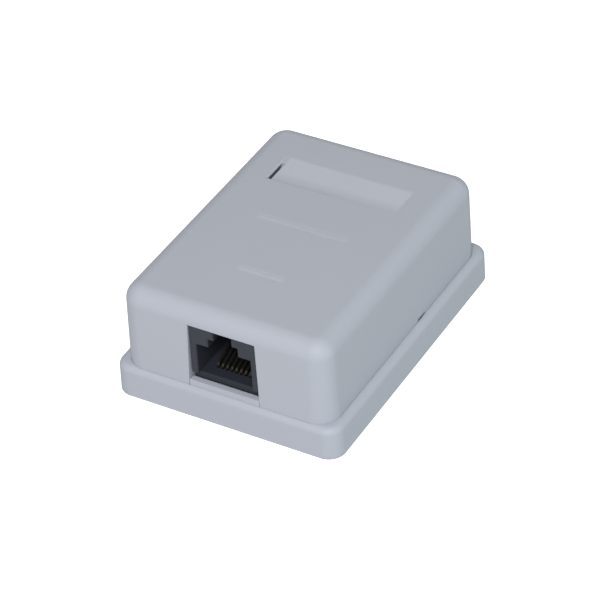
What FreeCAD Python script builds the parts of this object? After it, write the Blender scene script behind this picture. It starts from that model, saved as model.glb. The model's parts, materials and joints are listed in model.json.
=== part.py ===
import FreeCAD, Part
import Sketcher
import math
import os

# Surface mount jack box for one 8P8C socket, millimetres and degrees.
# The origin is the middle of the base's underside, the socket faces -Y and +Z points away from the wall.
SIZES = {
    # outside of the box
    "baseWidth": 50.0,
    "baseLength": 66.4,
    "skirtHeight": 7.1,
    "skirtCorner": 3.6,
    "skirtDraft": 1.2,
    "rimRound": 1.4,
    "sideStep": 1.85,
    "frontStep": 1.1,
    "rearStep": 1.6,
    "coverCorner": 4.5,
    "coverDraft": 1.3,
    "topRound": 3.6,
    # walls and the seam between cover and base
    "coverWall": 1.8,
    "roof": 2.0,
    "baseFloor": 2.0,
    "skirtWall": 1.7,
    "lipWall": 1.3,
    "lipRise": 2.1,
    "seamDepth": 1.7,
    "coreWall": 1.6,
    "fitGap": 0.06,
    # front tongue, the notch that drops over the socket and the wall above it
    "tongueWall": 1.5,
    "tongueRise": 1.65,
    "tongueGap": 0.5,
    "notchGap": 0.08,
    "faceInset": 0.3,
    "crownHeight": 3.82,
    "notchDraft": 1.7,
    "seatGap": 0.1,
    # cable entry at the rear
    "cableWidth": 9.0,
    "cableTop": 14.0,
    "cableArch": 3.5,
    "cableSillRise": 1.4,
    "cableSillGap": 0.3,
    # snap hooks on the base and the pry slots in the cover
    "hookWidth": 6.0,
    "hookFrontY": -14.0,
    "hookRearY": 20.0,
    "hookRise": 5.2,
    "barbHeight": 1.3,
    "barbReach": 0.5,
    "pocketDepth": 0.75,
    "pryLength": 3.0,
    "pryHeight": 0.35,
    "pryY": 5.95,
    # label recess, slot and raised bars on the roof
    "labelLength": 28.4,
    "labelWidth": 7.0,
    "labelY": 16.3,
    "labelDepth": 0.4,
    "labelSlope": 62.0,
    "slotLength": 4.8,
    "slotWidth": 0.45,
    "barHeight": 0.22,
    "longBar": 19.6,
    "longBarWidth": 0.55,
    "longBarY": 0.3,
    "shortBar": 10.0,
    "shortBarWidth": 0.9,
    "shortBarY": -16.1,
    # saddle where the cable is tied down
    "bridgeY": 21.0,
    "bridgeWidth": 9.0,
    "bridgeLength": 5.6,
    "bridgeHeight": 4.6,
    "saddleWidth": 6.0,
    "saddleDepth": 1.0,
    "tieWidth": 3.2,
    "tieHeight": 1.8,
    "tieRise": 1.0,
    # wall screw holes
    "mountSpacing": 32.0,
    "mountY": 9.0,
    "mountHole": 4.2,
    "mountBoss": 8.6,
    "mountBossRise": 1.0,
    # circuit board
    "boardWidth": 24.0,
    "boardMargin": 0.6,
    "boardThick": 1.6,
    "boardOverhang": 3.17,
    "postHeight": 4.7,
    "postWidth": 4.2,
    "restWidth": 3.4,
    "restThick": 1.4,
    "restInset": 1.6,
    "boardScrewX": 9.75,
    "boardScrewInset": 4.2,
    "screwShank": 2.2,
    "screwHead": 4.0,
    "screwHeadHeight": 1.5,
    "screwReach": 4.0,
    "screwGap": 0.2,
    "fingerWidth": 4.0,
    "fingerWall": 1.2,
    "fingerReach": 0.6,
    # socket housing
    "jackWidth": 14.6,
    "jackHeight": 13.2,
    "jackDepth": 17.0,
    "plugWidth": 11.9,
    "plugDepth": 12.4,
    "plugFloor": 1.6,
    "plugShoulder": 8.8,
    "stepWidth": 6.5,
    "stepTop": 10.8,
    "latchWidth": 3.9,
    "latchTop": 12.7,
    "mouthBevel": 0.3,
    "pegSpacing": 11.43,
    "pegWidth": 3.0,
    "pegReach": 2.9,
    "pegInset": 8.0,
    "holeGap": 0.1,
    # contact wires and the carrier that holds them
    "wirePitch": 1.02,
    "wireWidth": 0.45,
    "wireThick": 0.35,
    "wireSlot": 0.62,
    "wireRun": 1.05,
    "tailInset": 14.2,
    "tailStep": 2.0,
    "tailReach": 2.8,
    "tailBend": 0.7,
    "springInset": 4.35,
    "springBend": 0.65,
    "springAngle": 18.0,
    "springReach": 0.9744,
    "carrierWidth": 12.4,
    "carrierHeight": 10.6,
    "carrierFoot": 0.25,
    "combDepth": 1.4,
    "combLow": 3.0,
    "combHigh": 7.0,
    # insulation displacement blocks, blades and dust caps
    "blockGap": 1.6,
    "blockCentre": 7.7,
    "blockWidth": 8.0,
    "blockHeight": 11.0,
    "blockPitch": 3.7,
    "blockEnd": 1.2,
    "wayWidth": 1.1,
    "wayDepth": 5.2,
    "wayFlare": 0.7,
    "bladeWidth": 2.5,
    "bladeThick": 0.5,
    "bladeTop": 9.4,
    "bladeSlot": 0.36,
    "bladeSlotDepth": 4.2,
    "bladeTail": 0.7,
    "bladeGap": 0.12,
    "capWall": 0.8,
    "capDrop": 3.0,
    "capGap": 0.15,
}

doc = FreeCAD.newDocument("SurfaceMountJackBox")
sheet = doc.addObject("Spreadsheet::Sheet", "Sizes")
for row, (alias, number) in enumerate(SIZES.items(), start=1):
    sheet.set(f"A{row}", alias)
    sheet.set(f"B{row}", str(number))
    sheet.setAlias(f"B{row}", alias)
doc.recompute()

# Shared places, as expressions on the sheet.
ledgeZ = "(Sizes.skirtHeight - Sizes.seamDepth)"


def leanAt(z):
    # How far the drafted walls have moved inwards at height z.
    return f"(({z} - {ledgeZ}) * tan(Sizes.coverDraft))"


lipTopZ = "(Sizes.skirtHeight + Sizes.lipRise)"
flare = "(Sizes.seamDepth * tan(Sizes.coverDraft))"
coverSide = f"(Sizes.baseWidth / 2 - Sizes.sideStep + {flare})"
coverFront = f"(Sizes.baseLength / 2 - Sizes.frontStep + {flare})"
coverRear = f"(Sizes.baseLength / 2 - Sizes.rearStep + {flare})"
lipInset = "(Sizes.coverWall + Sizes.fitGap)"
trayInset = "(Sizes.coverWall + Sizes.fitGap + Sizes.lipWall)"
boardZ = "(Sizes.baseFloor + Sizes.postHeight)"
boardTopZ = f"({boardZ} + Sizes.boardThick)"
notchTopZ = f"({boardTopZ} + Sizes.jackHeight + Sizes.notchGap)"
roofTopZ = f"({notchTopZ} + Sizes.crownHeight)"
tongueInnerY = f"(-{coverFront} + {flare} + Sizes.tongueWall)"
jackY = f"(-{coverFront} + {leanAt(notchTopZ)} + Sizes.faceInset)"
boardY = f"({jackY} + Sizes.boardOverhang)"
blockY = f"({jackY} + Sizes.jackDepth + Sizes.blockGap)"
blockLength = "(4 * Sizes.blockPitch + 2 * Sizes.blockEnd)"
boardEndY = f"({blockY} + {blockLength} + Sizes.boardMargin)"


def value(expression):
    number = sheet.evalExpression(expression)
    return float(getattr(number, "Value", number))


def newBody(label, x="0", y="0", z="0"):
    body = doc.addObject("PartDesign::Body", label)
    body.Label = label
    for axis, place in (("x", x), ("y", y), ("z", z)):
        body.setExpression(f"Placement.Base.{axis}", place)
    return body


def newSketch(body, name, role, start="0"):
    sketch = body.newObject("Sketcher::SketchObject", f"{body.Label}_{name}")
    plane = next(face for face in body.Origin.OriginFeatures if face.Role == role)
    sketch.AttachmentSupport = [(plane, "")]
    sketch.MapMode = "FlatFace"
    sketch.setExpression("AttachmentOffset.Base.z", start)
    return sketch


def bind(sketch, constraint, expression):
    number = sketch.addConstraint(constraint)
    sketch.setExpression(f"Constraints[{number}]", expression)


def pin(sketch, shape, point, x, y):
    bind(sketch, Sketcher.Constraint("DistanceX", -1, 1, shape, point, value(x)), x)
    bind(sketch, Sketcher.Constraint("DistanceY", -1, 1, shape, point, value(y)), y)


def drawPolygon(sketch, corners):
    points = [FreeCAD.Vector(value(x), value(y), 0) for x, y in corners]
    first = sketch.GeometryCount
    count = len(points)
    for i in range(count):
        sketch.addGeometry(Part.LineSegment(points[i], points[(i + 1) % count]))
    for i, (x, y) in enumerate(corners):
        sketch.addConstraint(Sketcher.Constraint("Coincident", first + i, 2, first + (i + 1) % count, 1))
        pin(sketch, first + i, 1, x, y)


def drawRectangle(sketch, left, right, bottom, top):
    drawPolygon(sketch, [(left, bottom), (right, bottom), (right, top), (left, top)])


def drawRoundedRectangle(sketch, left, right, bottom, top, radius):
    x0, x1, y0, y1, r = [value(side) for side in (left, right, bottom, top, radius)]
    runs = [((x0 + r, y0), (x1 - r, y0)), ((x1, y0 + r), (x1, y1 - r)),
            ((x1 - r, y1), (x0 + r, y1)), ((x0, y1 - r), (x0, y0 + r))]
    centres = [(x1 - r, y0 + r), (x1 - r, y1 - r), (x0 + r, y1 - r), (x0 + r, y0 + r)]
    first = sketch.GeometryCount
    for i in range(4):
        start, end = [FreeCAD.Vector(*point, 0) for point in runs[i]]
        sketch.addGeometry(Part.LineSegment(start, end))
        circle = Part.Circle(FreeCAD.Vector(*centres[i], 0), FreeCAD.Vector(0, 0, 1), r)
        sketch.addGeometry(Part.ArcOfCircle(circle, (i - 1) * math.pi / 2, i * math.pi / 2))
    for i in range(4):
        line, arc, after = first + 2 * i, first + 2 * i + 1, first + (2 * i + 2) % 8
        sketch.addConstraint(Sketcher.Constraint("Tangent", line, 2, arc, 1))
        sketch.addConstraint(Sketcher.Constraint("Tangent", arc, 2, after, 1))
        sketch.addConstraint(Sketcher.Constraint("Vertical" if i % 2 else "Horizontal", line))
        if i:
            sketch.addConstraint(Sketcher.Constraint("Equal", first + 1, arc))
    bind(sketch, Sketcher.Constraint("Radius", first + 1, r), radius)
    bind(sketch, Sketcher.Constraint("DistanceY", -1, 1, first, 1, y0), bottom)
    bind(sketch, Sketcher.Constraint("DistanceX", -1, 1, first + 2, 1, x1), right)
    bind(sketch, Sketcher.Constraint("DistanceY", -1, 1, first + 4, 1, y1), top)
    bind(sketch, Sketcher.Constraint("DistanceX", -1, 1, first + 6, 1, x0), left)


def drawCircle(sketch, x, y, diameter):
    centre = FreeCAD.Vector(value(x), value(y), 0)
    radius = f"({diameter}) / 2"
    shape = sketch.addGeometry(Part.Circle(centre, FreeCAD.Vector(0, 0, 1), value(radius)))
    bind(sketch, Sketcher.Constraint("Radius", shape, value(radius)), radius)
    pin(sketch, shape, 3, x, y)


def extrude(body, kind, sketch, length, taper="0"):
    # Both kinds run from the sketch along its plane's normal.
    feature = body.newObject(f"PartDesign::{kind}", f"{sketch.Label}_{kind.lower()}")
    feature.Profile = sketch
    feature.Reversed = kind == "Pocket"
    feature.setExpression("Length", length)
    feature.setExpression("TaperAngle", taper)
    doc.recompute()
    return feature


def pad(body, sketch, length, taper="0"):
    return extrude(body, "Pad", sketch, length, taper)


def pocket(body, sketch, length, taper="0"):
    return extrude(body, "Pocket", sketch, length, taper)


def edgesOf(feature, wanted):
    return [f"Edge{i}" for i, edge in enumerate(feature.Shape.Edges, start=1) if wanted(edge.BoundBox)]


def near(a, b):
    return abs(a - b) < 1e-4


def dress(body, kind, name, wanted, size):
    base = body.Tip
    feature = body.newObject(f"PartDesign::{kind}", f"{body.Label}_{name}")
    feature.Base = (base, edgesOf(base, wanted))
    feature.setExpression("Radius" if kind == "Fillet" else "Size", size)
    doc.recompute()
    return feature


def repeat(body, feature, axis, spacing, count):
    pattern = body.newObject("PartDesign::LinearPattern", f"{feature.Label}_row")
    pattern.Originals = [feature]
    pattern.Direction = (next(line for line in body.Origin.OriginFeatures if line.Role == axis), [""])
    pattern.setExpression("Length", f"({count - 1}) * {spacing}")
    pattern.Occurrences = count
    body.Tip = pattern
    doc.recompute()
    return pattern


def coverOutline(sketch, inset, grow="0"):
    # The cover's own outline at its lower edge, moved inwards or outwards.
    drawRoundedRectangle(
        sketch,
        f"-({coverSide} - {inset} + {grow})",
        f"{coverSide} - {inset} + {grow}",
        f"-({coverFront} - {inset} + {grow})",
        f"{coverRear} - {inset} + {grow}",
        f"Sizes.coverCorner - {inset} + {grow}",
    )


def makeBase():
    body = newBody("base")

    outline = newSketch(body, "skirt", "XY_Plane")
    drawRoundedRectangle(outline, "-Sizes.baseWidth / 2", "Sizes.baseWidth / 2",
                         "-Sizes.baseLength / 2", "Sizes.baseLength / 2", "Sizes.skirtCorner")
    pad(body, outline, "Sizes.skirtHeight", "-Sizes.skirtDraft")
    top = value("Sizes.skirtHeight")
    dress(body, "Fillet", "rim", lambda box: near(box.ZMin, top) and near(box.ZMax, top), "Sizes.rimRound")

    # The well takes the cover's lower edge, the tray inside it holds the board.
    well = newSketch(body, "well", "XY_Plane", ledgeZ)
    coverOutline(well, "0", "Sizes.fitGap")
    pocket(body, well, "Sizes.seamDepth")
    tray = newSketch(body, "tray", "XY_Plane", "Sizes.baseFloor")
    coverOutline(tray, trayInset)
    pocket(body, tray, f"{ledgeZ} - Sizes.baseFloor")

    lip = newSketch(body, "lip", "XY_Plane", ledgeZ)
    coverOutline(lip, lipInset)
    coverOutline(lip, trayInset)
    pad(body, lip, "Sizes.seamDepth + Sizes.lipRise", "-Sizes.coverDraft")

    # The lip is open behind the socket and at the cable entry.
    gaps = newSketch(body, "lipGaps", "XY_Plane", ledgeZ)
    jackHalf = "(Sizes.jackWidth / 2 + Sizes.tongueGap)"
    drawRectangle(gaps, f"-{jackHalf}", jackHalf, f"-{coverFront}", f"-({coverFront} - {trayInset} - Sizes.lipWall / 2)")
    cableHalf = "(Sizes.cableWidth / 2)"
    drawRectangle(gaps, f"-{cableHalf}", cableHalf, f"{coverRear} - {trayInset} - Sizes.lipWall / 2", coverRear)
    pocket(body, gaps, "Sizes.seamDepth + Sizes.lipRise")

    # Tongues close the lower part of the cover's two notches, flush with its wall.
    tongueTop = "(Sizes.skirtHeight + Sizes.tongueRise)"
    tongueHalf = "(Sizes.jackWidth / 2 - Sizes.tongueGap)"
    tongue = newSketch(body, "tongue", "YZ_Plane", f"-{tongueHalf}")
    drawPolygon(tongue, [
        (f"-{coverFront}", ledgeZ),
        (f"-{coverFront} + {leanAt(tongueTop)}", tongueTop),
        (tongueInnerY, tongueTop),
        (tongueInnerY, ledgeZ),
    ])
    pad(body, tongue, f"2 * {tongueHalf}")
    sillTop = "(Sizes.skirtHeight + Sizes.cableSillRise)"
    sillHalf = "(Sizes.cableWidth / 2 - Sizes.cableSillGap)"
    sill = newSketch(body, "cableSill", "YZ_Plane", f"-{sillHalf}")
    drawPolygon(sill, [
        (coverRear, ledgeZ),
        (f"{coverRear} - {leanAt(sillTop)}", sillTop),
        (f"{coverRear} - {flare} - Sizes.tongueWall", sillTop),
        (f"{coverRear} - {flare} - Sizes.tongueWall", ledgeZ),
    ])
    pad(body, sill, f"2 * {sillHalf}")

    # A channel under the rim keeps the moulding's walls even.
    core = newSketch(body, "core", "XY_Plane")
    drawRectangle(core, "-Sizes.baseWidth / 2 + Sizes.skirtWall", "Sizes.baseWidth / 2 - Sizes.skirtWall",
                  "-Sizes.baseLength / 2 + Sizes.skirtWall", "Sizes.baseLength / 2 - Sizes.skirtWall")
    coverOutline(core, lipInset)
    pocket(body, core, f"{ledgeZ} - Sizes.coreWall")

    # Posts carry the board, ring bosses stiffen the wall screw holes.
    posts = newSketch(body, "posts", "XY_Plane", "Sizes.baseFloor")
    for side in ("-", ""):
        drawCircle(posts, f"{side}Sizes.boardScrewX", f"{boardY} + Sizes.boardScrewInset", "Sizes.postWidth")
        drawRectangle(posts, f"{side}Sizes.boardScrewX - Sizes.restWidth / 2",
                      f"{side}Sizes.boardScrewX + Sizes.restWidth / 2",
                      f"{boardEndY} - Sizes.restInset - Sizes.restThick", f"{boardEndY} - Sizes.restInset")
    pad(body, posts, "Sizes.postHeight")
    pilots = newSketch(body, "pilots", "XY_Plane", f"{boardZ} - Sizes.screwReach")
    for side in ("-", ""):
        drawCircle(pilots, f"{side}Sizes.boardScrewX", f"{boardY} + Sizes.boardScrewInset", "Sizes.screwShank")
    pocket(body, pilots, "Sizes.screwReach")
    bosses = newSketch(body, "bosses", "XY_Plane", "Sizes.baseFloor")
    holes = newSketch(body, "wallHoles", "XY_Plane")
    for side in ("-", ""):
        drawCircle(bosses, f"{side}Sizes.mountSpacing / 2", "Sizes.mountY", "Sizes.mountBoss")
        drawCircle(holes, f"{side}Sizes.mountSpacing / 2", "Sizes.mountY", "Sizes.mountHole")
    pad(body, bosses, "Sizes.mountBossRise")
    pocket(body, holes, "Sizes.baseFloor + Sizes.mountBossRise")

    # A saddle for the cable, with a tunnel under it for a tie.
    bridge = newSketch(body, "bridge", "XY_Plane", "Sizes.baseFloor")
    drawRectangle(bridge, "-Sizes.bridgeWidth / 2", "Sizes.bridgeWidth / 2",
                  "Sizes.bridgeY - Sizes.bridgeLength / 2", "Sizes.bridgeY + Sizes.bridgeLength / 2")
    pad(body, bridge, "Sizes.bridgeHeight")
    tunnel = newSketch(body, "tieTunnel", "YZ_Plane", "-Sizes.bridgeWidth / 2")
    drawRectangle(tunnel, "Sizes.bridgeY - Sizes.tieWidth / 2", "Sizes.bridgeY + Sizes.tieWidth / 2",
                  "Sizes.baseFloor + Sizes.tieRise", "Sizes.baseFloor + Sizes.tieRise + Sizes.tieHeight")
    pocket(body, tunnel, "Sizes.bridgeWidth")
    saddle = newSketch(body, "saddle", "XZ_Plane", "-(Sizes.bridgeY + Sizes.bridgeLength / 2)")
    drawCircle(saddle, "0", "Sizes.baseFloor + Sizes.bridgeHeight - Sizes.saddleDepth + Sizes.saddleWidth / 2",
               "Sizes.saddleWidth")
    pocket(body, saddle, "Sizes.bridgeLength")

    # The finger holds down the board's rear edge.
    back = f"({boardEndY} + Sizes.seatGap)"
    catch = f"({boardTopZ} + Sizes.seatGap)"
    finger = newSketch(body, "finger", "YZ_Plane", "-Sizes.fingerWidth / 2")
    drawPolygon(finger, [
        (back, "Sizes.baseFloor"),
        (back, catch),
        (f"{back} - Sizes.fingerReach", catch),
        (f"{back} - Sizes.fingerReach", f"{catch} + 0.3 * Sizes.fingerReach"),
        (f"{back} + Sizes.fingerWall / 3", f"{catch} + 2 * Sizes.fingerReach"),
        (f"{back} + Sizes.fingerWall", f"{catch} + 2 * Sizes.fingerReach"),
        (f"{back} + Sizes.fingerWall", "Sizes.baseFloor"),
    ])
    pad(body, finger, "Sizes.fingerWidth")

    for name, y in (("Front", "Sizes.hookFrontY"), ("Rear", "Sizes.hookRearY")):
        for hand, side in (("Left", "-"), ("Right", "")):
            addHook(body, f"hook{name}{hand}", side, y)
    return body


hookTopZ = f"({lipTopZ} + Sizes.hookRise)"
barbZ = f"({hookTopZ} - Sizes.barbHeight)"


def addHook(body, name, side, y):
    outer = f"({coverSide} - {lipInset})"
    inner = f"({coverSide} - {trayInset})"
    hook = newSketch(body, name, "XZ_Plane", f"-({y} + Sizes.hookWidth / 2)")
    drawPolygon(hook, [
        (f"{side}{inner}", ledgeZ),
        (f"{side}{outer}", ledgeZ),
        (f"{side}({outer} - {leanAt(barbZ)})", barbZ),
        (f"{side}({outer} - {leanAt(barbZ)} + Sizes.barbReach)", barbZ),
        (f"{side}({outer} - {leanAt(barbZ)} + Sizes.barbReach)", f"{barbZ} + 0.3 * Sizes.barbHeight"),
        (f"{side}({inner} + Sizes.lipWall / 2)", hookTopZ),
        (f"{side}{inner}", hookTopZ),
    ])
    pad(body, hook, "Sizes.hookWidth")


def makeCover():
    body = newBody("cover")
    outer = newSketch(body, "outer", "XY_Plane", ledgeZ)
    coverOutline(outer, "0")
    pad(body, outer, f"{roofTopZ} - {ledgeZ}", "-Sizes.coverDraft")
    top = value(roofTopZ)
    dress(body, "Fillet", "shoulder", lambda box: near(box.ZMin, top) and near(box.ZMax, top), "Sizes.topRound")

    inner = newSketch(body, "inner", "XY_Plane", ledgeZ)
    coverOutline(inner, "Sizes.coverWall")
    pocket(body, inner, f"{roofTopZ} - Sizes.roof - {ledgeZ}", "-Sizes.coverDraft")
    ceiling = value(f"{roofTopZ} - Sizes.roof")
    dress(body, "Chamfer", "ceiling", lambda box: near(box.ZMin, ceiling) and near(box.ZMax, ceiling),
          "Sizes.topRound - Sizes.coverWall")

    # The notch drops over the socket, so it is open at the bottom and widens that way.
    notch = newSketch(body, "notch", "XZ_Plane", f"{coverFront} - 2 * Sizes.coverWall")
    topHalf = "(Sizes.jackWidth / 2 + Sizes.notchGap)"
    footHalf = f"({topHalf} + ({notchTopZ} - {ledgeZ}) * tan(Sizes.notchDraft))"
    drawPolygon(notch, [(f"-{footHalf}", ledgeZ), (footHalf, ledgeZ), (topHalf, notchTopZ), (f"-{topHalf}", notchTopZ)])
    pocket(body, notch, "2 * Sizes.coverWall")

    entry = newSketch(body, "cableEntry", "XZ_Plane", f"-{coverRear}")
    drawRectangle(entry, "-Sizes.cableWidth / 2", "Sizes.cableWidth / 2", ledgeZ, "Sizes.cableTop")
    pocket(body, entry, "2 * Sizes.coverWall")
    half, height = value("Sizes.cableWidth / 2"), value("Sizes.cableTop")
    dress(body, "Fillet", "cableArch",
          lambda box: near(abs(box.XMin), half) and near(box.XMin, box.XMax) and near(box.ZMin, height)
          and near(box.ZMax, height), "Sizes.cableArch")

    pry = newSketch(body, "prySlots", "YZ_Plane", "-Sizes.baseWidth / 2")
    drawRectangle(pry, "Sizes.pryY - Sizes.pryLength / 2", "Sizes.pryY + Sizes.pryLength / 2",
                  ledgeZ, "Sizes.skirtHeight + Sizes.pryHeight")
    pocket(body, pry, "Sizes.baseWidth")

    # Blind catches inside the side walls take the hooks' barbs.
    wallFace = f"({coverSide} - Sizes.coverWall - {leanAt(barbZ)})"
    catchDepth = "(Sizes.coverWall / 2 + Sizes.pocketDepth)"
    for hand, start in (("Left", f"-({wallFace} + Sizes.pocketDepth)"),
                        ("Right", f"{wallFace} + Sizes.pocketDepth - {catchDepth}")):
        catches = newSketch(body, f"catches{hand}", "YZ_Plane", start)
        for y in ("Sizes.hookFrontY", "Sizes.hookRearY"):
            drawRectangle(catches, f"{y} - Sizes.hookWidth / 2 - 2 * Sizes.seatGap",
                          f"{y} + Sizes.hookWidth / 2 + 2 * Sizes.seatGap",
                          f"{barbZ} - Sizes.seatGap", f"{hookTopZ} + 2 * Sizes.seatGap")
        pocket(body, catches, catchDepth)

    # Label recess with sloped sides, and the slot through the roof at its left end.
    recess = newSketch(body, "label", "XY_Plane", f"{roofTopZ} - Sizes.labelDepth")
    drawRectangle(recess, "-Sizes.labelLength / 2", "Sizes.labelLength / 2",
                  "Sizes.labelY - Sizes.labelWidth / 2", "Sizes.labelY + Sizes.labelWidth / 2")
    pocket(body, recess, "Sizes.labelDepth", "Sizes.labelSlope")
    slot = newSketch(body, "slot", "XY_Plane", f"{roofTopZ} - 2 * Sizes.roof")
    drawRectangle(slot, "-Sizes.labelLength / 2 - Sizes.slotWidth / 2", "-Sizes.labelLength / 2 + Sizes.slotWidth / 2",
                  "Sizes.labelY - Sizes.labelWidth / 2 - Sizes.labelDepth",
                  "Sizes.labelY - Sizes.labelWidth / 2 - Sizes.labelDepth + Sizes.slotLength")
    pocket(body, slot, "2 * Sizes.roof")

    bars = newSketch(body, "bars", "XY_Plane", roofTopZ)
    drawRectangle(bars, "-Sizes.longBar / 2", "Sizes.longBar / 2",
                  "Sizes.longBarY - Sizes.longBarWidth / 2", "Sizes.longBarY + Sizes.longBarWidth / 2")
    drawRectangle(bars, "-Sizes.shortBar / 2", "Sizes.shortBar / 2",
                  "Sizes.shortBarY - Sizes.shortBarWidth / 2", "Sizes.shortBarY + Sizes.shortBarWidth / 2")
    pad(body, bars, "Sizes.barHeight")
    return body


def makeBoard():
    body = newBody("circuit_board", "0", boardY, boardZ)
    outline = newSketch(body, "outline", "XY_Plane")
    drawRectangle(outline, "-Sizes.boardWidth / 2", "Sizes.boardWidth / 2", "0", f"{boardEndY} - {boardY}")
    pad(body, outline, "Sizes.boardThick")
    holes = newSketch(body, "holes", "XY_Plane")
    for side in ("-", ""):
        drawCircle(holes, f"{side}Sizes.boardScrewX", "Sizes.boardScrewInset", "Sizes.screwShank + 2 * Sizes.screwGap")
        drawCircle(holes, f"{side}Sizes.pegSpacing / 2", "Sizes.pegInset - Sizes.boardOverhang",
                   "Sizes.pegWidth + 2 * Sizes.holeGap")
        for way in range(4):
            middle, half = f"{blockY} - {boardY} + {wayAt(way)}", "(Sizes.bladeTail / 2 + Sizes.holeGap)"
            drawRectangle(holes, f"{side}Sizes.blockCentre - (Sizes.bladeThick / 2 + Sizes.holeGap)",
                          f"{side}Sizes.blockCentre + (Sizes.bladeThick / 2 + Sizes.holeGap)",
                          f"{middle} - {half}", f"{middle} + {half}")
    for index in range(8):
        middle, half = f"{tailAt(index)} - Sizes.boardOverhang", "(Sizes.wireThick / 2 + Sizes.holeGap)"
        drawRectangle(holes, f"{wireAt(index)} - (Sizes.wireWidth / 2 + Sizes.holeGap)",
                      f"{wireAt(index)} + (Sizes.wireWidth / 2 + Sizes.holeGap)",
                      f"{middle} - {half}", f"{middle} + {half}")
    pocket(body, holes, "Sizes.boardThick")
    return body


def wireAt(index):
    return f"({index} - 3.5) * Sizes.wirePitch"


def tailAt(index):
    return f"(Sizes.tailInset + {index % 2} * Sizes.tailStep)"


def wayAt(way):
    return f"(Sizes.blockEnd + ({way} + 0.5) * Sizes.blockPitch)"


def makeHousing():
    # Local Y runs from the socket's face into the box, Z up from the board.
    body = newBody("jack_housing", "0", jackY, boardTopZ)
    block = newSketch(body, "block", "XZ_Plane", "-Sizes.jackDepth")
    drawRectangle(block, "-Sizes.jackWidth / 2", "Sizes.jackWidth / 2", "0", "Sizes.jackHeight")
    pad(body, block, "Sizes.jackDepth")

    # Stepped opening for an 8P8C plug, with the latch slot on top.
    opening = newSketch(body, "opening", "XZ_Plane", "-Sizes.plugDepth")
    right = [
        ("Sizes.plugWidth / 2", "Sizes.plugFloor"),
        ("Sizes.plugWidth / 2", "Sizes.plugShoulder"),
        ("Sizes.stepWidth / 2", "Sizes.plugShoulder"),
        ("Sizes.stepWidth / 2", "Sizes.stepTop"),
        ("Sizes.latchWidth / 2", "Sizes.stepTop"),
        ("Sizes.latchWidth / 2", "Sizes.latchTop"),
    ]
    drawPolygon(opening, right + [(f"-{x}", z) for x, z in reversed(right)])
    pocket(body, opening, "Sizes.plugDepth")
    side, floor, ceiling = value("Sizes.plugWidth / 2"), value("Sizes.plugFloor"), value("Sizes.latchTop")
    dress(body, "Chamfer", "mouth", lambda box: near(box.YMin, 0) and near(box.YMax, 0) and box.XMax < side + 1e-4
          and box.XMin > -side - 1e-4 and box.ZMin > floor - 1e-4 and box.ZMax < ceiling + 1e-4, "Sizes.mouthBevel")

    # The front is cut back below the opening, where the base's tongue stands.
    relief = newSketch(body, "relief", "YZ_Plane", "-Sizes.jackWidth / 2")
    drawRectangle(relief, "0", f"{tongueInnerY} + Sizes.seatGap - {jackY}", "0", "Sizes.plugFloor")
    pocket(body, relief, "Sizes.jackWidth")

    rear = newSketch(body, "carrierBay", "XZ_Plane", "-Sizes.jackDepth")
    bayHalf = "(Sizes.carrierWidth / 2 + Sizes.holeGap)"
    drawRectangle(rear, f"-{bayHalf}", bayHalf, "0", "Sizes.carrierFoot + Sizes.carrierHeight + Sizes.holeGap")
    pocket(body, rear, "Sizes.jackDepth - Sizes.plugDepth")

    groove = newSketch(body, "groove", "XZ_Plane", "-Sizes.plugDepth")
    drawRectangle(groove, f"{wireAt(0)} - Sizes.wireSlot / 2", f"{wireAt(0)} + Sizes.wireSlot / 2",
                  "Sizes.wireRun - Sizes.wireThick / 2 - Sizes.holeGap", "Sizes.plugFloor")
    first = pocket(body, groove, "Sizes.plugDepth - (Sizes.springInset - Sizes.springBend) + Sizes.wireThick")
    repeat(body, first, "X_Axis", "Sizes.wirePitch", 8)

    pegs = newSketch(body, "pegs", "XY_Plane", "-Sizes.pegReach")
    for side in ("-", ""):
        drawCircle(pegs, f"{side}Sizes.pegSpacing / 2", "Sizes.pegInset", "Sizes.pegWidth")
    pad(body, pegs, "Sizes.pegReach")
    return body


def makeCarrier():
    # The carrier closes the housing from behind; its combs keep the wires apart.
    body = newBody("contact_carrier", "0", jackY, boardTopZ)
    block = newSketch(body, "block", "XY_Plane", "Sizes.carrierFoot")
    drawRectangle(block, "-Sizes.carrierWidth / 2", "Sizes.carrierWidth / 2", "Sizes.plugDepth + Sizes.holeGap",
                  "Sizes.jackDepth")
    pad(body, block, "Sizes.carrierHeight")
    slotTop = "(Sizes.wireRun + Sizes.wireThick / 2 + Sizes.holeGap)"
    for name, low, high, start, length in (
        ("foot", "Sizes.carrierFoot", slotTop, "-Sizes.jackDepth", "Sizes.jackDepth - Sizes.plugDepth"),
        ("comb", "Sizes.combLow", "Sizes.combHigh", "-Sizes.plugDepth - Sizes.holeGap - Sizes.combDepth",
         "Sizes.combDepth"),
    ):
        slot = newSketch(body, name, "XZ_Plane", start)
        drawRectangle(slot, f"{wireAt(0)} - Sizes.wireSlot / 2", f"{wireAt(0)} + Sizes.wireSlot / 2", low, high)
        first = pocket(body, slot, length)
        repeat(body, first, "X_Axis", "Sizes.wirePitch", 8)
    return body


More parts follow.
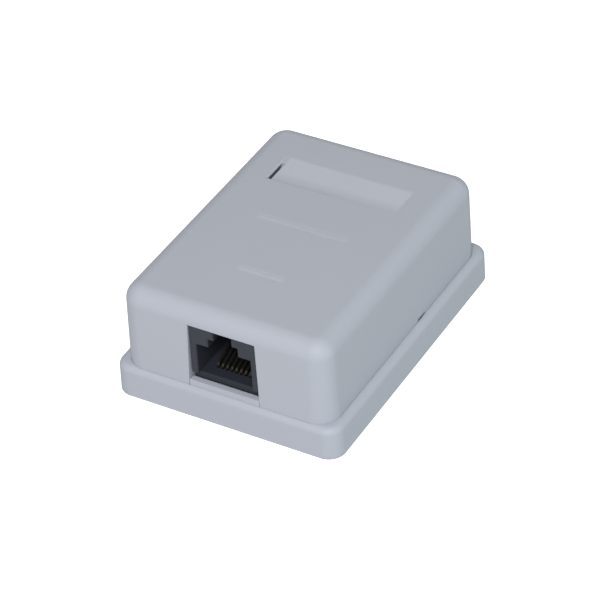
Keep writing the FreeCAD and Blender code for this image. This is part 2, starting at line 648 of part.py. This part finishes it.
def makeContact(index):
    # One wire: up through the board, forwards along the floor, round and back up into the comb.
    body = newBody(f"jack_contact_{index + 1}", wireAt(index), jackY, boardTopZ)
    tail = tailAt(index)
    sine, cosine = "sin(Sizes.springAngle)", "cos(Sizes.springAngle)"
    turnY = f"(Sizes.springInset - Sizes.springBend * {sine})"
    turnZ = f"(Sizes.wireRun + Sizes.springBend * (1 + {cosine}))"
    endY = "(Sizes.plugDepth + Sizes.springReach)"
    stops = [
        (tail, "-Sizes.tailReach"),
        (tail, "Sizes.wireRun - Sizes.tailBend"),
        (f"{tail} - Sizes.tailBend", "Sizes.wireRun"),
        ("Sizes.springInset", "Sizes.wireRun"),
        (turnY, turnZ),
        (endY, f"{turnZ} + ({endY} - {turnY}) * tan(Sizes.springAngle)"),
    ]
    path = newSketch(body, "path", "YZ_Plane")
    points = [FreeCAD.Vector(value(y), value(z), 0) for y, z in stops]
    for a, b in ((0, 1), (2, 3), (4, 5)):
        line = path.addGeometry(Part.LineSegment(points[a], points[b]))
        pin(path, line, 1, *stops[a])
        pin(path, line, 2, *stops[b])

    # Each bend runs on from one line to the next: its radius, centre, angles and the line ends it meets.
    quarter, lean = math.pi / 2, math.radians(value("Sizes.springAngle"))
    tailCentre = points[1] - FreeCAD.Vector(value("Sizes.tailBend"), 0, 0)
    springCentre = points[3] + FreeCAD.Vector(0, value("Sizes.springBend"), 0)
    for radius, centre, start, end, first, last in (
        ("Sizes.tailBend", tailCentre, 0, quarter, (0, 2), (1, 1)),
        ("Sizes.springBend", springCentre, quarter + lean, 3 * quarter, (2, 1), (1, 2)),
    ):
        circle = Part.Circle(centre, FreeCAD.Vector(0, 0, 1), value(radius))
        arc = path.addGeometry(Part.ArcOfCircle(circle, start, end))
        bind(path, Sketcher.Constraint("Radius", arc, value(radius)), radius)
        path.addConstraint(Sketcher.Constraint("Coincident", arc, 1, *first))
        path.addConstraint(Sketcher.Constraint("Coincident", arc, 2, *last))
    section = newSketch(body, "section", "XY_Plane", "-Sizes.tailReach")
    drawRectangle(section, "-Sizes.wireWidth / 2", "Sizes.wireWidth / 2", f"{tail} - Sizes.wireThick / 2",
                  f"{tail} + Sizes.wireThick / 2")
    pipe = body.newObject("PartDesign::AdditivePipe", f"{body.Label}_wire")
    pipe.Profile = section
    pipe.Spine = (path, [""])
    pipe.Transition = "Transformed"
    doc.recompute()
    return body


def makeBlock(hand, side):
    body = newBody(f"idc_block_{hand}", f"{side}Sizes.blockCentre", blockY, boardTopZ)
    section = newSketch(body, "section", "XZ_Plane", f"-{blockLength}")
    bevel = "Sizes.wayFlare"
    right = [
        ("Sizes.blockWidth / 2", "0"),
        ("Sizes.blockWidth / 2", f"Sizes.blockHeight - {bevel}"),
        (f"(Sizes.blockWidth / 2 - {bevel})", "Sizes.blockHeight"),
    ]
    drawPolygon(section, right + [(f"-{x}", z) for x, z in reversed(right)])
    pad(body, section, blockLength)
    way = newSketch(body, "way", "YZ_Plane", "-Sizes.blockWidth / 2")
    centre, half = wayAt(0), "Sizes.wayWidth / 2"
    low, neck = "Sizes.blockHeight - Sizes.wayDepth", "Sizes.blockHeight - 1.5 * Sizes.wayFlare"
    drawPolygon(way, [
        (f"{centre} - {half}", low),
        (f"{centre} + {half}", low),
        (f"{centre} + {half}", neck),
        (f"{centre} + {half} + Sizes.wayFlare", "Sizes.blockHeight"),
        (f"{centre} - {half} - Sizes.wayFlare", "Sizes.blockHeight"),
        (f"{centre} - {half}", neck),
    ])
    repeat(body, pocket(body, way, "Sizes.blockWidth"), "Y_Axis", "Sizes.blockPitch", 4)
    well = newSketch(body, "well", "XY_Plane")
    wellHalf = "(Sizes.bladeThick / 2 + Sizes.bladeGap)"
    drawRectangle(well, f"-{wellHalf}", wellHalf, f"{centre} - Sizes.bladeWidth / 2 - Sizes.bladeGap",
                  f"{centre} + Sizes.bladeWidth / 2 + Sizes.bladeGap")
    repeat(body, pocket(body, well, "Sizes.blockHeight"), "Y_Axis", "Sizes.blockPitch", 4)
    return body


def makeBlade(number, side, way):
    # A forked blade: the wire is pushed down between the two tines.
    body = newBody(f"idc_blade_{number}", f"{side}Sizes.blockCentre", f"{blockY} + {wayAt(way)}", boardTopZ)
    outline = newSketch(body, "outline", "YZ_Plane", "-Sizes.bladeThick / 2")
    right = [
        ("Sizes.bladeTail / 2", "-Sizes.tailReach"),
        ("Sizes.bladeTail / 2", "0"),
        ("Sizes.bladeWidth / 2", "0"),
        ("Sizes.bladeWidth / 2", "Sizes.bladeTop - Sizes.bladeThick"),
        ("(Sizes.bladeWidth - Sizes.bladeThick) / 2", "Sizes.bladeTop"),
        ("(Sizes.bladeSlot / 2 + Sizes.bladeThick)", "Sizes.bladeTop"),
        ("Sizes.bladeSlot / 2", "Sizes.bladeTop - 2 * Sizes.bladeThick"),
        ("Sizes.bladeSlot / 2", "Sizes.bladeTop - Sizes.bladeSlotDepth"),
    ]
    drawPolygon(outline, right + [(f"-{x}", z) for x, z in reversed(right)])
    pad(body, outline, "Sizes.bladeThick")
    return body


def makeCap(hand, side):
    body = newBody(f"idc_cap_{hand}", f"{side}Sizes.blockCentre", blockY, boardTopZ)
    low = "(Sizes.blockHeight - Sizes.capDrop)"
    for name, grow, height, make in (
        ("outer", "(Sizes.capGap + Sizes.capWall)", "Sizes.capDrop + Sizes.capWall", pad),
        ("inner", "Sizes.capGap", "Sizes.capDrop", pocket),
    ):
        sketch = newSketch(body, name, "XY_Plane", low)
        drawRectangle(sketch, f"-Sizes.blockWidth / 2 - {grow}", f"Sizes.blockWidth / 2 + {grow}", f"-{grow}",
                      f"{blockLength} + {grow}")
        make(body, sketch, height)
    notch = newSketch(body, "notch", "YZ_Plane", "-Sizes.blockWidth / 2 - 2 * Sizes.capWall")
    half = "(Sizes.wayWidth / 2 + Sizes.wayFlare)"
    drawRectangle(notch, f"{wayAt(0)} - {half}", f"{wayAt(0)} + {half}", low, "Sizes.blockHeight - Sizes.capWall")
    repeat(body, pocket(body, notch, "Sizes.blockWidth + 4 * Sizes.capWall"), "Y_Axis", "Sizes.blockPitch", 4)
    top = value("Sizes.blockHeight + Sizes.capWall")
    dress(body, "Chamfer", "edge", lambda box: near(box.ZMin, top) and near(box.ZMax, top), "Sizes.capWall / 2")
    return body


def makeScrews():
    body = newBody("board_screw", "Sizes.boardScrewX", f"{boardY} + Sizes.boardScrewInset", boardTopZ)
    profile = newSketch(body, "profile", "XZ_Plane")
    end = "-(Sizes.boardThick + Sizes.screwReach - Sizes.screwGap)"
    drawPolygon(profile, [
        ("0", end),
        ("Sizes.screwShank / 2", end),
        ("Sizes.screwShank / 2", "0"),
        ("Sizes.screwHead / 2", "0"),
        ("Sizes.screwHead / 2", "Sizes.screwHeadHeight"),
        ("0", "Sizes.screwHeadHeight"),
    ])
    turned = body.newObject("PartDesign::Revolution", "board_screw_turned")
    turned.Profile = profile
    turned.ReferenceAxis = (profile, ["V_Axis"])
    turned.Angle = 360
    doc.recompute()
    cross = newSketch(body, "cross", "XY_Plane", "Sizes.screwHeadHeight / 2")
    arm, half = "(Sizes.screwHead / 4)", "(Sizes.screwHead / 14)"
    drawPolygon(cross, [
        (arm, f"-{half}"), (arm, half), (half, half), (half, arm), (f"-{half}", arm), (f"-{half}", half),
        (f"-{arm}", half), (f"-{arm}", f"-{half}"), (f"-{half}", f"-{half}"), (f"-{half}", f"-{arm}"),
        (half, f"-{arm}"), (half, f"-{half}"),
    ])
    pocket(body, cross, "Sizes.screwHeadHeight / 2")
    twin = doc.addObject("Part::Mirroring", "board_screw_twin")
    twin.Source = body
    twin.Normal = FreeCAD.Vector(1, 0, 0)
    pair = doc.addObject("Part::Compound", "board_screws")
    pair.Label = "board_screws"
    pair.Links = [body, twin]
    doc.recompute()
    return pair


nodes = [makeBase(), makeCover(), makeBoard(), makeHousing(), makeCarrier()]
nodes += [makeContact(index) for index in range(8)]
for hand, side, first in (("left", "-", 1), ("right", "", 5)):
    nodes.append(makeBlock(hand, side))
    nodes += [makeBlade(first + way, side, way) for way in range(4)]
    nodes.append(makeCap(hand, side))
nodes.append(makeScrews())
doc.recompute()

for item in doc.Objects:
    if "Invalid" in item.State or "Error" in item.State:
        raise RuntimeError(f"{item.Label} failed: {item.State}")
for body in [item for item in doc.Objects if item.TypeId == "PartDesign::Body"]:
    before = None
    for feature in body.Group:
        if feature.TypeId.startswith("PartDesign::") and before is not None:
            if near(feature.Shape.Volume, before.Shape.Volume):
                raise RuntimeError(f"{feature.Label} changes nothing")
        if feature.TypeId.startswith("PartDesign::"):
            before = feature
os.makedirs("parts", exist_ok=True)
for node in nodes:
    shape = node.Shape
    if shape.isNull() or not shape.isValid():
        raise RuntimeError(f"{node.Label} is not a valid solid")
    shape.exportStep(f"parts/{node.Label}.step")
    print(node.Label, round(shape.Volume, 2), len(shape.Solids))
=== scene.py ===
import json
import math

import bmesh
import bpy
from mathutils import Matrix, Vector


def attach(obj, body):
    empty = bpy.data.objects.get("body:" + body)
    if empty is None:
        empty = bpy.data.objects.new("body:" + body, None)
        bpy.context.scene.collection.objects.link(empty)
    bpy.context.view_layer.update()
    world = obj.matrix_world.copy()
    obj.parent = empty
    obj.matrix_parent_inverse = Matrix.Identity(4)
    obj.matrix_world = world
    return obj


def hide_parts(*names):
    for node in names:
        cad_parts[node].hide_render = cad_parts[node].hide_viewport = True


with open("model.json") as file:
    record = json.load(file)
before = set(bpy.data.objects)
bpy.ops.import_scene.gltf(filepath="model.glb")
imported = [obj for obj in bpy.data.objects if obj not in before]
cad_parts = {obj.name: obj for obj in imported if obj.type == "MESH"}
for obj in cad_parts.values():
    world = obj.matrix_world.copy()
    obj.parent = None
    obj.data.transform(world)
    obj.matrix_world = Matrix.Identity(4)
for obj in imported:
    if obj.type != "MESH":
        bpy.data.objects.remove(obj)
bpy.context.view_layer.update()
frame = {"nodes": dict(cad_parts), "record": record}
nodes = frame["nodes"]
scene = bpy.context.scene
mm = 0.001  # the scene is in metres
print("frame loaded:", len(nodes), "nodes")


def newMaterial(name):
    material = bpy.data.materials.new(name)
    material.use_nodes = True
    tree = material.node_tree
    tree.nodes.clear()
    output = tree.nodes.new("ShaderNodeOutputMaterial")
    shader = tree.nodes.new("ShaderNodeBsdfPrincipled")
    tree.links.new(shader.outputs["BSDF"], output.inputs["Surface"])
    place = tree.nodes.new("ShaderNodeTexCoord").outputs["Object"]
    return material, tree, shader, place


def noise(tree, place, size, detail, roughness):
    # size is the width of one blotch, in millimetres
    node = tree.nodes.new("ShaderNodeTexNoise")
    node.inputs["Scale"].default_value = 1 / (size * mm)
    node.inputs["Detail"].default_value = detail
    node.inputs["Roughness"].default_value = roughness
    tree.links.new(place, node.inputs["Vector"])
    return node.outputs["Fac"]


def mapRange(tree, number, start, end, low=0.0, high=1.0):
    # low up to start, high from end on
    node = tree.nodes.new("ShaderNodeMapRange")
    node.inputs["From Min"].default_value = start
    node.inputs["From Max"].default_value = end
    node.inputs["To Min"].default_value = low
    node.inputs["To Max"].default_value = high
    tree.links.new(number, node.inputs["Value"])
    return node


def vary(tree, factor, middle, swing):
    # a number that wanders about its middle with the noise, which seldom leaves 0.3 to 0.7
    return mapRange(tree, factor, 0.3, 0.7, middle - swing, middle + swing).outputs["Result"]


def blendColours(tree, factor, first, second):
    node = tree.nodes.new("ShaderNodeMix")
    node.data_type = "RGBA"
    for socket, colour in (("A", first), ("B", second)):
        target = [s for s in node.inputs if s.name == socket and s.type == "RGBA"][0]
        if isinstance(colour, bpy.types.NodeSocket):
            tree.links.new(colour, target)
        else:
            target.default_value = (*colour, 1)
    factorSocket = [s for s in node.inputs if s.name == "Factor" and s.type == "VALUE"][0]
    tree.links.new(factor, factorSocket)
    return [s for s in node.outputs if s.type == "RGBA"][0]


def bump(tree, height, strength, distance):
    node = tree.nodes.new("ShaderNodeBump")
    node.inputs["Strength"].default_value = strength
    node.inputs["Distance"].default_value = distance * mm
    tree.links.new(height, node.inputs["Height"])
    return node.outputs["Normal"]


def ramp(tree, number, start, end, low=0.0, high=1.0):
    # a smooth step from low at start to high at end, which are places in millimetres
    node = mapRange(tree, number, start * mm, end * mm, low, high)
    node.interpolation_type = "SMOOTHSTEP"
    return node.outputs["Result"]


def calculate(tree, operation, first, second):
    node = tree.nodes.new("ShaderNodeMath")
    node.operation = operation
    for target, number in zip(node.inputs, (first, second)):
        if isinstance(number, bpy.types.NodeSocket):
            tree.links.new(number, target)
        else:
            target.default_value = number
    return node.outputs["Value"]


def along(tree, place, axis):
    split = tree.nodes.new("ShaderNodeSeparateXYZ")
    tree.links.new(place, split.inputs["Vector"])
    return split.outputs[axis]


def patchOn(tree, place, patch):
    # 1 inside a soft-edged box, 0 outside: each axis says where it starts, is full, fades and ends
    inside = 1.0
    for axis in ("X", "Y", "Z"):
        if axis in patch:
            start, full, fade, end = patch[axis]
            number = along(tree, place, axis)
            rise = ramp(tree, number, start, full)
            fall = ramp(tree, number, fade, end, low=1.0, high=0.0)
            inside = calculate(tree, "MULTIPLY", inside, calculate(tree, "MULTIPLY", rise, fall))
    return inside


def shaded(colour, share):
    return tuple(share * part for part in colour)


def mouldedPlastic(name, look):
    # satin moulding: a fine spark-eroded grain, faint flow marks and slight gloss changes
    material, tree, shader, place = newMaterial(name)
    flow = noise(tree, place, look["flowSize"], detail=3, roughness=0.55)
    grain = noise(tree, place, look["grainSize"], detail=2, roughness=0.6)
    dark, light = (shaded(look["colour"], 1 + sign * look["variation"]) for sign in (-1, 1))
    tint = blendColours(tree, flow, dark, light)
    # each patch lays painted light into the colour: painted sheen and highlights towards white,
    # painted shade towards black
    for patch in look.get("patches", []):
        strength = calculate(tree, "MULTIPLY", patchOn(tree, place, patch), patch["strength"])
        tint = blendColours(tree, strength, tint, patch["towards"])
    tree.links.new(tint, shader.inputs["Base Color"])
    tree.links.new(vary(tree, grain, look["roughness"], swing=0.03), shader.inputs["Roughness"])
    shader.inputs["IOR"].default_value = 1.5
    shader.inputs["Specular IOR Level"].default_value = look["specular"]
    relief = bump(tree, grain, look["grainStrength"], look["grainDepth"])
    tree.links.new(relief, shader.inputs["Normal"])
    return material


def drawnMetal(name, look):
    # fine streaks along the way that the wire or sheet was drawn
    material, tree, shader, place = newMaterial(name)
    stretch = tree.nodes.new("ShaderNodeMapping")
    stretch.inputs["Scale"].default_value = look["stretch"]
    tree.links.new(place, stretch.inputs["Vector"])
    streaks = noise(tree, stretch.outputs["Vector"], look["streakSize"], detail=3, roughness=0.6)
    tint = blendColours(tree, streaks, shaded(look["colour"], look["tarnish"]), look["colour"])
    tree.links.new(tint, shader.inputs["Base Color"])
    tree.links.new(vary(tree, streaks, look["roughness"], swing=0.06), shader.inputs["Roughness"])
    shader.inputs["Metallic"].default_value = 1.0
    relief = bump(tree, streaks, look["streakStrength"], look["streakDepth"])
    tree.links.new(relief, shader.inputs["Normal"])
    return material


def boardLaminate(name, look):
    # green solder mask over copper tracks that run along the board, and bare glass fibre at its edges
    material, tree, shader, place = newMaterial(name)
    bare = patchOn(tree, place, look["core"])
    perTrack = 2 * math.pi / (look["trackPitch"] * mm)
    turns = calculate(tree, "MULTIPLY", along(tree, place, "X"), perTrack)
    wave = calculate(tree, "SINE", turns, 0.0)
    raised = mapRange(tree, wave, *look["trackEdge"]).outputs["Result"]
    track = calculate(tree, "MULTIPLY", raised, calculate(tree, "SUBTRACT", 1.0, bare))
    weave = noise(tree, place, look["weaveSize"], detail=2, roughness=0.5)
    ground = blendColours(tree, weave, look["mask"], shaded(look["mask"], look["weaveShade"]))
    printed = blendColours(tree, track, ground, look["track"])
    tint = blendColours(tree, bare, printed, look["fibre"])
    tree.links.new(tint, shader.inputs["Base Color"])
    tree.links.new(vary(tree, weave, look["roughness"], swing=0.04), shader.inputs["Roughness"])
    relief = bump(tree, track, look["trackStrength"], look["trackDepth"])
    tree.links.new(relief, shader.inputs["Normal"])
    return material


cameraView = {
    "turn": 31.3764,  # degrees round the object from its front
    "lift": 37.9192,  # degrees above the floor
    "roll": -3.5765,
    "distance": 564.9075,
    "right": -1.4074,  # how far the camera stands beside the line to the origin
    "up": 6.0876,
    "lens": 168.126,
    "sensor": 36,
}


def placeCamera(view):
    turn, lift, roll = (math.radians(view[key]) for key in ("turn", "lift", "roll"))
    flat = math.cos(lift)
    back = Vector((math.sin(turn) * flat, -math.cos(turn) * flat, math.sin(lift)))
    level = (-back).cross(Vector((0, 0, 1))).normalized()
    rise = level.cross(-back)
    right = math.cos(roll) * level + math.sin(roll) * rise
    up = -math.sin(roll) * level + math.cos(roll) * rise
    data = bpy.data.cameras.new("studioCamera")
    data.lens = view["lens"]
    data.sensor_width = view["sensor"]
    camera = bpy.data.objects.new("studioCamera", data)
    scene.collection.objects.link(camera)
    turned = Matrix((right, up, back)).transposed().to_4x4()
    place = mm * (back * view["distance"] + right * view["right"] + up * view["up"])
    camera.matrix_world = Matrix.Translation(place) @ turned
    scene.camera = camera


placeCamera(cameraView)


studio = {
    "floorSize": 3.0,
    "floorShade": 0.65,
    "cameraShade": 0.88,  # added where the camera sees the floor
    "mirrorShade": 0.4,  # added where a reflection sees it
    "worldLight": 0.4,
    "lamps": [
        # name, place, size, watts, colour
        ("keyLamp", (0.371, -0.79, 0.823), 0.45, 11.1, (1, 1, 1)),
        ("sideLamp", (1.15, 0.1, 0.2), 0.5, 1.3, (0.5, 1, 1)),
    ],
}


def seenLight(tree, look):
    # the white that the camera and reflections see, kept out of the light that bounces
    path = tree.nodes.new("ShaderNodeLightPath").outputs
    direct = calculate(tree, "MULTIPLY", path["Is Camera Ray"], look["cameraShade"])
    mirrored = calculate(tree, "MAXIMUM", path["Is Glossy Ray"], path["Is Transmission Ray"])
    reflected = calculate(tree, "MULTIPLY", mirrored, look["mirrorShade"])
    return calculate(tree, "ADD", direct, reflected)


def makeFloor(look):
    work = bmesh.new()
    bmesh.ops.create_grid(work, x_segments=1, y_segments=1, size=look["floorSize"] / 2)
    mesh = bpy.data.meshes.new("studioFloor")
    work.to_mesh(mesh)
    work.free()
    floor = bpy.data.objects.new("studioFloor", mesh)
    scene.collection.objects.link(floor)
    material = bpy.data.materials.new("studioFloor")
    material.use_nodes = True
    tree = material.node_tree
    tree.nodes.clear()
    output = tree.nodes.new("ShaderNodeOutputMaterial")
    paper = tree.nodes.new("ShaderNodeBsdfDiffuse")
    paper.inputs["Color"].default_value = (*[look["floorShade"]] * 3, 1)
    glow = tree.nodes.new("ShaderNodeEmission")
    glow.inputs["Color"].default_value = (1, 1, 1, 1)
    tree.links.new(seenLight(tree, look), glow.inputs["Strength"])
    both = tree.nodes.new("ShaderNodeAddShader")
    tree.links.new(paper.outputs["BSDF"], both.inputs[0])
    tree.links.new(glow.outputs["Emission"], both.inputs[1])
    tree.links.new(both.outputs["Shader"], output.inputs["Surface"])
    mesh.materials.append(material)


def makeWorld(look):
    # white where the camera sees it, and a dimmer light on the object
    world = bpy.data.worlds.new("studioWorld")
    world.use_nodes = True
    tree = world.node_tree
    tree.nodes.clear()
    output = tree.nodes.new("ShaderNodeOutputWorld")
    sky = tree.nodes.new("ShaderNodeBackground")
    sky.inputs["Color"].default_value = (1, 1, 1, 1)
    seen = tree.nodes.new("ShaderNodeLightPath").outputs["Is Camera Ray"]
    level = mapRange(tree, seen, 0, 1, low=look["worldLight"], high=1.0)
    tree.links.new(level.outputs["Result"], sky.inputs["Strength"])
    tree.links.new(sky.outputs["Background"], output.inputs["Surface"])
    scene.world = world


def hangLamps(look):
    for name, place, size, watts, colour in look["lamps"]:
        data = bpy.data.lights.new(name, "AREA")
        data.shape = "SQUARE"
        data.size = size
        data.energy = watts
        data.color = colour
        lamp = bpy.data.objects.new(name, data)
        lamp.location = place
        lamp.rotation_euler = (-Vector(place)).to_track_quat("-Z", "Y").to_euler()
        scene.collection.objects.link(lamp)


makeFloor(studio)
makeWorld(studio)
hangLamps(studio)
scene.view_settings.view_transform = "Standard"
print("stage ready")


# painted sheen, painted highlights and painted shade on the mouldings, in millimetres
white, black = (1, 1, 1), (0, 0, 0)
onRoof = (24.5, 24.6, 30, 31)
# painted sheen: the label recess is coloured lighter to stand for its glossier shine
labelPaintedSheen = {
    "X": (-13.9, -13.4, 13.9, 14.9), "Y": (12.2, 16.0, 19.5, 20.9), "Z": onRoof,
    "towards": white, "strength": 0.115,
}
# painted highlight: a lighter band along the long raised bar, where its edge catches the light
longBarPaintedHighlight = {
    "X": (-10.6, -9.2, 9.2, 10.6), "Y": (-0.7, 0.4, 0.8, 1.9), "Z": onRoof,
    "towards": white, "strength": 0.055,
}
# painted highlight: a lighter band along the short raised bar, where its edge catches the light
shortBarPaintedHighlight = {
    "X": (-5.8, -4.4, 4.4, 5.8), "Y": (-17.0, -16.0, -15.5, -14.5), "Z": onRoof,
    "towards": white, "strength": 0.08,
}
# painted shade: the socket housing is coloured darker behind its face, where shade falls inside it
socketShade = {"Y": (-31.4, -31.1, 0, 1), "towards": black, "strength": 0.25}  # behind its face

# what the mouldings of one sort share
paleMoulding = {
    "colour": (0.424, 0.447, 0.503), "variation": 0.012, "roughness": 0.5, "specular": 0.2,
    "grainSize": 0.35, "grainStrength": 0.25, "grainDepth": 0.006,
}
darkMoulding = {
    "variation": 0.06, "flowSize": 5, "roughness": 0.5, "specular": 0.2,
    "grainSize": 0.25, "grainStrength": 0.2, "grainDepth": 0.005,
}
innerMoulding = {"variation": 0.02, "flowSize": 6, "specular": 0.5, "grainSize": 0.3}
drawnStreaks = {"streakStrength": 0.2, "streakDepth": 0.01}

finishes = {
    "cover_plastic": mouldedPlastic("coverPlastic", {
        **paleMoulding, "flowSize": 14, "patches": [labelPaintedSheen, longBarPaintedHighlight, shortBarPaintedHighlight]}),
    "base_plastic": mouldedPlastic("basePlastic", {**paleMoulding, "flowSize": 11}),
    "jack_plastic": mouldedPlastic("jackPlastic", {
        **darkMoulding, "colour": (0.036, 0.041, 0.054), "patches": [socketShade]}),
    "carrier_plastic": mouldedPlastic("carrierPlastic", {
        **darkMoulding, "colour": (0.025, 0.028, 0.034)}),
    # painted shade: the contacts are coloured far darker and greyer than gold, as they sit in the
    # socket's shade
    "gold_contact": drawnMetal("goldContactPaintedShade", {
        **drawnStreaks, "colour": (0.085, 0.077, 0.062), "tarnish": 0.75, "roughness": 0.5,
        "streakSize": 0.3, "stretch": (6, 1, 1)}),
    "board": boardLaminate("boardLaminate", {
        "mask": (0.012, 0.1, 0.035), "track": (0.02, 0.15, 0.055), "fibre": (0.3, 0.28, 0.13),
        "core": {"Z": (6.71, 6.75, 8.25, 8.29)},  # heights between the board's two faces
        "trackPitch": 2.54, "trackEdge": (0.25, 0.4), "trackStrength": 0.4, "trackDepth": 0.03,
        "weaveSize": 0.6, "weaveShade": 1.15, "roughness": 0.35}),
    "block_plastic": mouldedPlastic("blockPlastic", {
        **innerMoulding, "colour": (0.46, 0.47, 0.48), "roughness": 0.45,
        "grainStrength": 0.2, "grainDepth": 0.005}),
    "tin_blade": drawnMetal("tinBlade", {
        **drawnStreaks, "colour": (0.72, 0.72, 0.7), "tarnish": 0.85, "roughness": 0.35,
        "streakSize": 0.3, "stretch": (1, 6, 1)}),
    "cap_plastic": mouldedPlastic("capPlastic", {
        **innerMoulding, "colour": (0.52, 0.54, 0.57), "roughness": 0.4,
        "grainStrength": 0.1, "grainDepth": 0.004}),
    "screw_steel": drawnMetal("screwSteel", {
        **drawnStreaks, "colour": (0.6, 0.6, 0.6), "tarnish": 0.8, "roughness": 0.3,
        "streakSize": 0.4, "stretch": (1, 1, 3)}),
}

slotOf = {item["node"]: item["material_slot"] for item in frame["record"]["subparts"]}
for name, node in nodes.items():
    node.data.materials.clear()
    node.data.materials.append(finishes[slotOf[name]])
print("finishes ready:", len(finishes))


def moveInside(work, box, shift, spread):
    # spreads the corners inside a box about the box's middle, then shifts them
    low, high = (Vector(corner) * mm for corner in box)
    middle = (low + high) / 2
    for vert in work.verts:
        if all(low[i] <= vert.co[i] <= high[i] for i in range(3)):
            away = Vector(spread) * (vert.co - middle)
            vert.co = middle + away + Vector(shift) * mm


def sharpEdges(work, look):
    # edges that turn by more than sharpFrom degrees, apart from those kept crisp between two heights
    low, high = (height * mm for height in look.get("keepSharp", (0, 0)))
    limit = math.radians(look["sharpFrom"])
    return [
        edge for edge in work.edges
        if edge.calc_face_angle(0) > limit and not all(low < vert.co.z < high for vert in edge.verts)
    ]


def softenMoulding(name, part, look):
    # a copy of the moulding whose sharp edges get the small radius that a mould leaves
    work = bmesh.new()
    work.from_mesh(nodes[part].data)
    bmesh.ops.remove_doubles(work, verts=work.verts, dist=look["weldGap"] * mm)
    for box, shift, spread in look.get("fitting", {}).values():
        moveInside(work, box, shift, spread)
    work.normal_update()
    bmesh.ops.bevel(
        work, geom=sharpEdges(work, look), offset=look["radius"] * mm, segments=look["segments"],
        profile=0.5, affect="EDGES", material=-1)
    for face in work.faces:
        face.smooth = True
    for edge in work.edges:
        edge.smooth = edge.calc_face_angle(0) < math.radians(look["creaseFrom"])
    mesh = bpy.data.meshes.new(name)
    work.to_mesh(mesh)
    work.free()
    mesh.materials.append(finishes[slotOf[part]])
    piece = bpy.data.objects.new(name, mesh)
    scene.collection.objects.link(piece)
    shade = piece.modifiers.new("evenShading", "WEIGHTED_NORMAL")
    shade.keep_sharp = True
    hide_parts(part)
    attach(piece, "root")


# lengths in millimetres, angles in degrees; each fitting has its box, shift and spread
mouldEdges = {"weldGap": 0.001, "segments": 2, "sharpFrom": 35, "creaseFrom": 60}
noShift, noSpread = (0, 0, 0), (1, 1, 1)
coverShell = {
    **mouldEdges, "radius": 0.13,
    "fitting": {
        "label slot": (((-14.6, 12.2, 23.0), (-13.8, 17.4, 25.5)), (0, 0.6, 0), (1.7, 1.25, 1)),
        "undercut slot wall": (((-15.2, 11.5, 23.0), (-14.3, 18.9, 24.5)), (-0.6, 0, 0), noSpread),
        "label recess floor": (((-14.5, 12.0, 24.9), (14.5, 20.0, 25.1)), (0, 0, 0.3), noSpread),
        "long bar top": (((-10.0, -0.2, 25.5), (10.0, 0.8, 25.7)), (0, 0, -0.13), (0.97, 0.9, 1)),
        "long bar foot": (((-10.0, -0.2, 25.3), (10.0, 0.8, 25.45)), noShift, (1, 2.7, 1)),
        "short bar top": (((-5.2, -16.8, 25.5), (5.2, -15.4, 25.7)), (0, 0, -0.08), (0.94, 0.8, 1)),
        "short bar foot": (((-5.2, -16.8, 25.3), (5.2, -15.4, 25.45)), noShift, (1, 1.9, 1)),
    },
}
baseTray = {
    **mouldEdges, "radius": 0.13, "keepSharp": (6.5, 7.2),  # the rim that meets the cover
    "fitting": {
        "rim": (((-26, -34, 6.5), (26, 34, 7.2)), noShift, (0.998, 0.9985, 1)),
        "tongue left end": (((-6.9, -32.3, 5.3), (-6.7, -30.5, 8.9)), (-0.92, 0, 0), noSpread),
        "tongue right end": (((6.7, -32.3, 5.3), (6.9, -30.5, 8.9)), (0.92, 0, 0), noSpread),
        "tongue top": (((-7.9, -32.3, 8.7), (7.9, -30.5, 8.9)), (0, 0, -0.4), noSpread),
    },
}
socketHousing = {**mouldEdges, "radius": 0.09}
wireInsert = {**mouldEdges, "radius": 0.05, "segments": 1}
punchBlock = {**mouldEdges, "radius": 0.1}
dustCap = {**mouldEdges, "radius": 0.15}

softenMoulding("coverShell", "cover", coverShell)
softenMoulding("baseTray", "base", baseTray)
softenMoulding("socketHousing", "jack_housing", socketHousing)
softenMoulding("wireInsert", "contact_carrier", wireInsert)
for side in ("left", "right"):
    softenMoulding(f"{side}Block", f"idc_block_{side}", punchBlock)
    softenMoulding(f"{side}Cap", f"idc_cap_{side}", dustCap)
print("mouldings ready")
